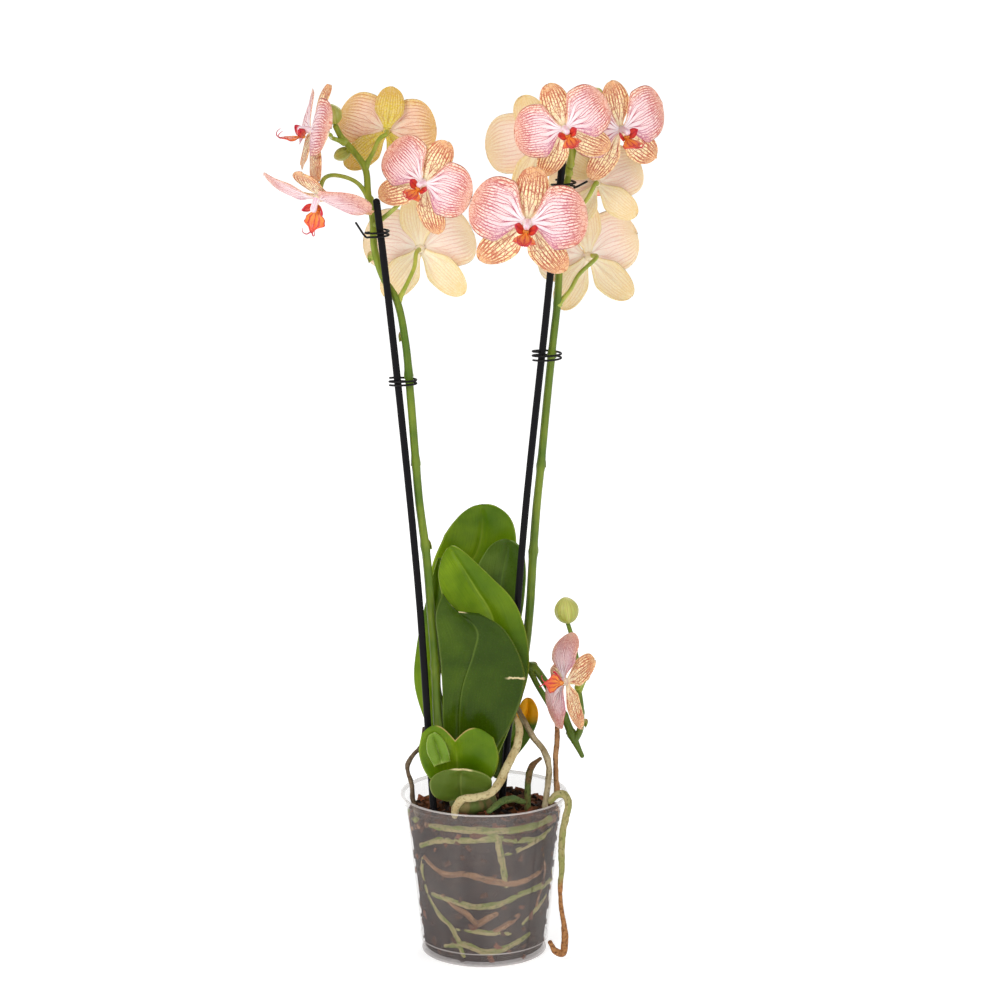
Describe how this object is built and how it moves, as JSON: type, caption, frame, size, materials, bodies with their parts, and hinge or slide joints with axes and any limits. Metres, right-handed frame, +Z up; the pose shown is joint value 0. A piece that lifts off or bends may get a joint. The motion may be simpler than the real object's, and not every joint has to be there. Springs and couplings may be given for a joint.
{
  "type": "potted orchid plant",
  "caption": "Flowering moth orchid with two tall caned flower spikes and a short side spike, strap leaves and aerial roots, in a clear tapered pot of bark.",
  "frame": {"origin": "centre of the pot's flat base, on the floor", "axes": "+Z up along the pot's axis, -Y towards the plant's front, +X to its right as seen from the front"},
  "size_m": [0.2732, 0.1331, 0.62],
  "materials": {
    "pot_plastic": "clear, faintly smoky, glossy",
    "cane_black": "black coated cane, satin",
    "petal_rose": "cream-pink with rose veins, soft",
    "petal_cream": "pale cream-yellow back, soft",
    "petal_gold": "golden yellow back, soft",
    "lip_red": "crimson and orange, waxy",
    "stem_green": "fresh green, waxy",
    "bud_green": "yellow-green, waxy",
    "bud_pale": "cream, waxy",
    "leaf_green": "mid green, waxy gloss",
    "leaf_olive": "olive green, waxy gloss",
    "leaf_dark": "dark green, waxy gloss",
    "leaf_yellow": "orange-yellow tip, green base",
    "root_tan": "silver-tan dry skin",
    "root_olive": "olive skin",
    "root_brown": "brown skin",
    "crown_olive": "olive, matte",
    "bark_brown": "rough red-brown bark chips",
    "wire_black": "black coated wire"
  },
  "bodies": {
    "root": {"pot": "pot_plastic", "cane_left": "cane_black", "cane_right": "cane_black", "flower_l1": "petal_rose", "lip_l1": "lip_red", "flower_l2": "petal_gold", "lip_l2": "lip_red", "flower_l3": "petal_rose", "lip_l3": "lip_red", "flower_l4": "petal_cream", "lip_l4": "lip_red", "flower_l5": "petal_rose", "lip_l5": "lip_red", "flower_r1": "petal_rose", "lip_r1": "lip_red", "flower_r2": "petal_rose", "lip_r2": "lip_red", "flower_r3": "petal_rose", "lip_r3": "lip_red", "flower_r4": "petal_cream", "lip_r4": "lip_red", "flower_r5": "petal_cream", "lip_r5": "lip_red", "flower_r6": "petal_cream", "lip_r6": "lip_red", "flower_s1": "petal_rose", "lip_s1": "lip_red", "spike_left": "stem_green", "spike_right": "stem_green", "spike_side": "stem_green", "bud_left_tip": "bud_green", "bud_left_small": "bud_green", "bud_right_top": "bud_green", "bud_side_top": "bud_green", "bud_side_small": "bud_pale", "leaf_back": "leaf_green", "leaf_back_dark": "leaf_dark", "leaf_mid": "leaf_green", "leaf_front": "leaf_olive", "leaf_left_low": "leaf_green", "leaf_front_low": "leaf_green", "leaf_front_lowest": "leaf_green", "leaf_right_yellow": "leaf_yellow", "root_front": "root_tan", "root_inner": "root_tan", "root_side": "root_brown", "root_hanging": "root_olive", "root_stub": "root_olive", "root_left": "root_brown", "root_flat": "root_olive", "root_wall_high": "root_olive", "root_wall_amber": "root_brown", "root_wall_low": "root_olive", "root_wall_foot": "root_olive", "crown": "crown_olive", "bark_mix": "bark_brown", "clip_left_high": "wire_black", "clip_left_low": "wire_black", "clip_right_low": "wire_black", "clip_right_high": "wire_black"}
  },
  "joints": []
}
